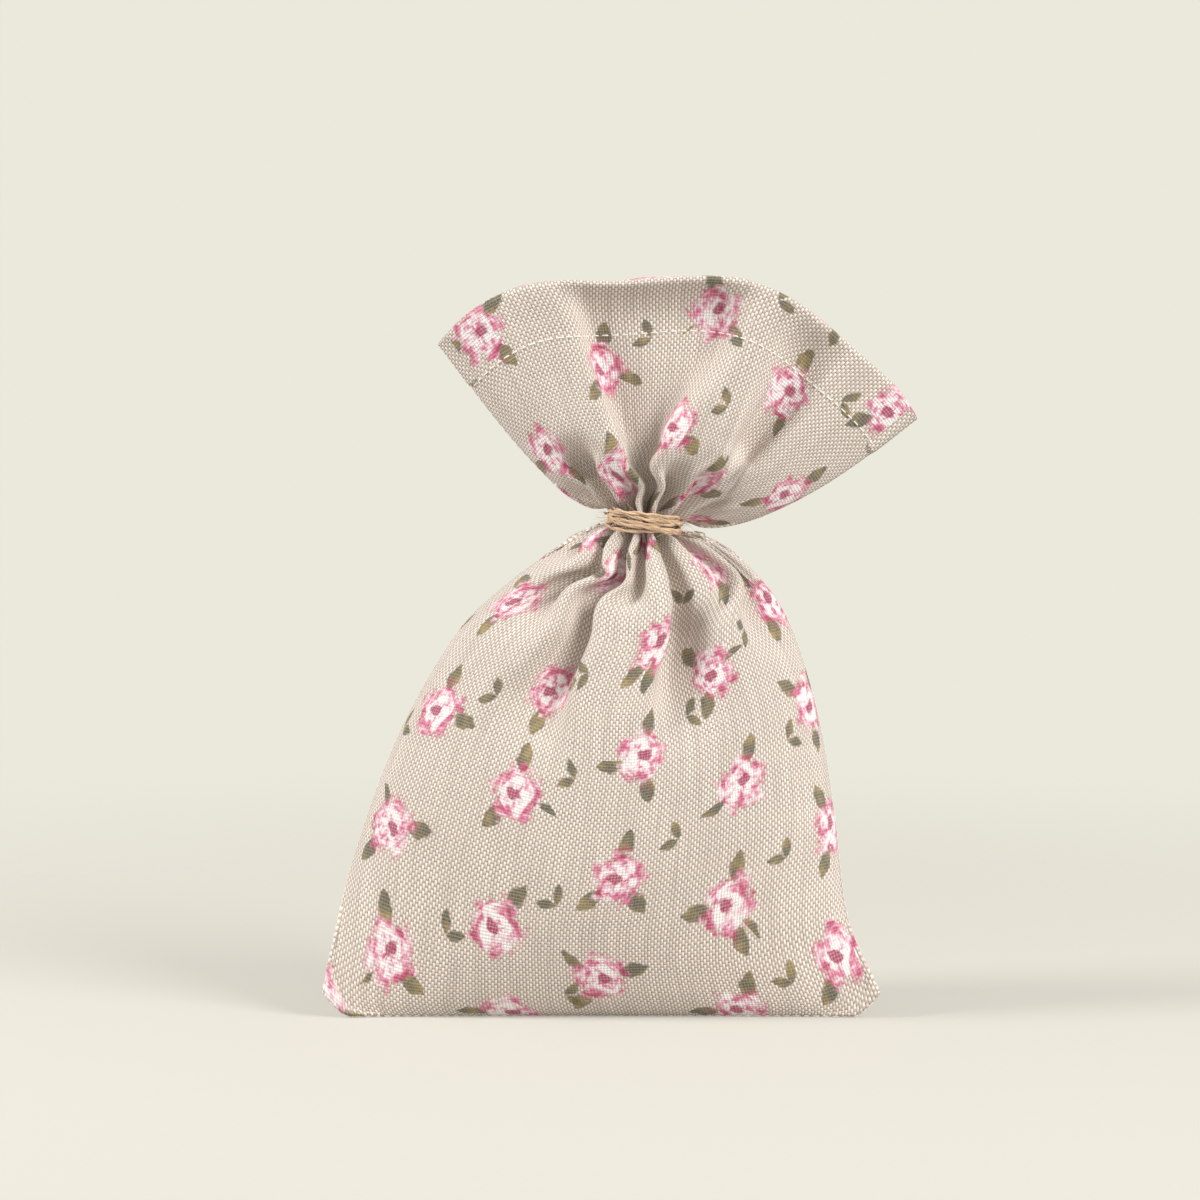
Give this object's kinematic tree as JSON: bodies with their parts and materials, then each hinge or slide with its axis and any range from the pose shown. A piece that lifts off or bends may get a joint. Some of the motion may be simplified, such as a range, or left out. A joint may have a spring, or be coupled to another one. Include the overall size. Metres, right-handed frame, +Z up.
{
  "type": "fabric pouch",
  "caption": "Small filled canvas pouch with a floral print, gathered at the neck and tied with wound jute twine under an open fanned collar.",
  "frame": {"origin": "on the floor under the middle of the pouch's bounding box", "axes": "+Z up, +X to the right seen from the front, -Y towards the front, the side with the bottom seam"},
  "size_m": [0.1372, 0.045, 0.1745],
  "materials": {
    "canvas": "matte",
    "thread": "matte",
    "twine": "matte",
    "filling": "matte"
  },
  "bodies": {
    "pouch": {"front_panel": "canvas", "back_panel": "canvas", "filling": "filling", "left_seam_thread": "thread", "right_seam_thread": "thread", "bottom_seam_thread": "thread"},
    "tie": {"neck_gather": "canvas", "twine_wrap": "twine", "twine_knot": "twine", "twine_tail_left": "twine", "twine_tail_right": "twine"},
    "collar": {"front_lip": "canvas", "front_hem_thread": "thread", "left_lip_seam_thread": "thread", "right_lip_seam_thread": "thread"},
    "rear_lip": {"back_lip": "canvas", "back_hem_thread": "thread"}
  },
  "joints": [
    {"name": "neck_lean", "type": "hinge", "parent": "pouch", "child": "tie", "pos_m": [0.00781, 0, 0.1168], "axis": [1, 0, 0], "range_deg": [-25, 25], "deforming": ["neck_gather"]},
    {"name": "neck_sway", "type": "hinge", "parent": "tie", "child": "collar", "pos_m": [0.00781, 0, 0.1168], "axis": [0, 1, 0], "range_deg": [-30, 18], "deforming": ["neck_gather"]},
    {"name": "mouth_open", "type": "hinge", "parent": "collar", "child": "rear_lip", "pos_m": [0.00781, 0, 0.1168], "axis": [-0.9877, 0, 0.1564], "range_deg": [0, 18], "deforming": ["neck_gather"]}
  ]
}
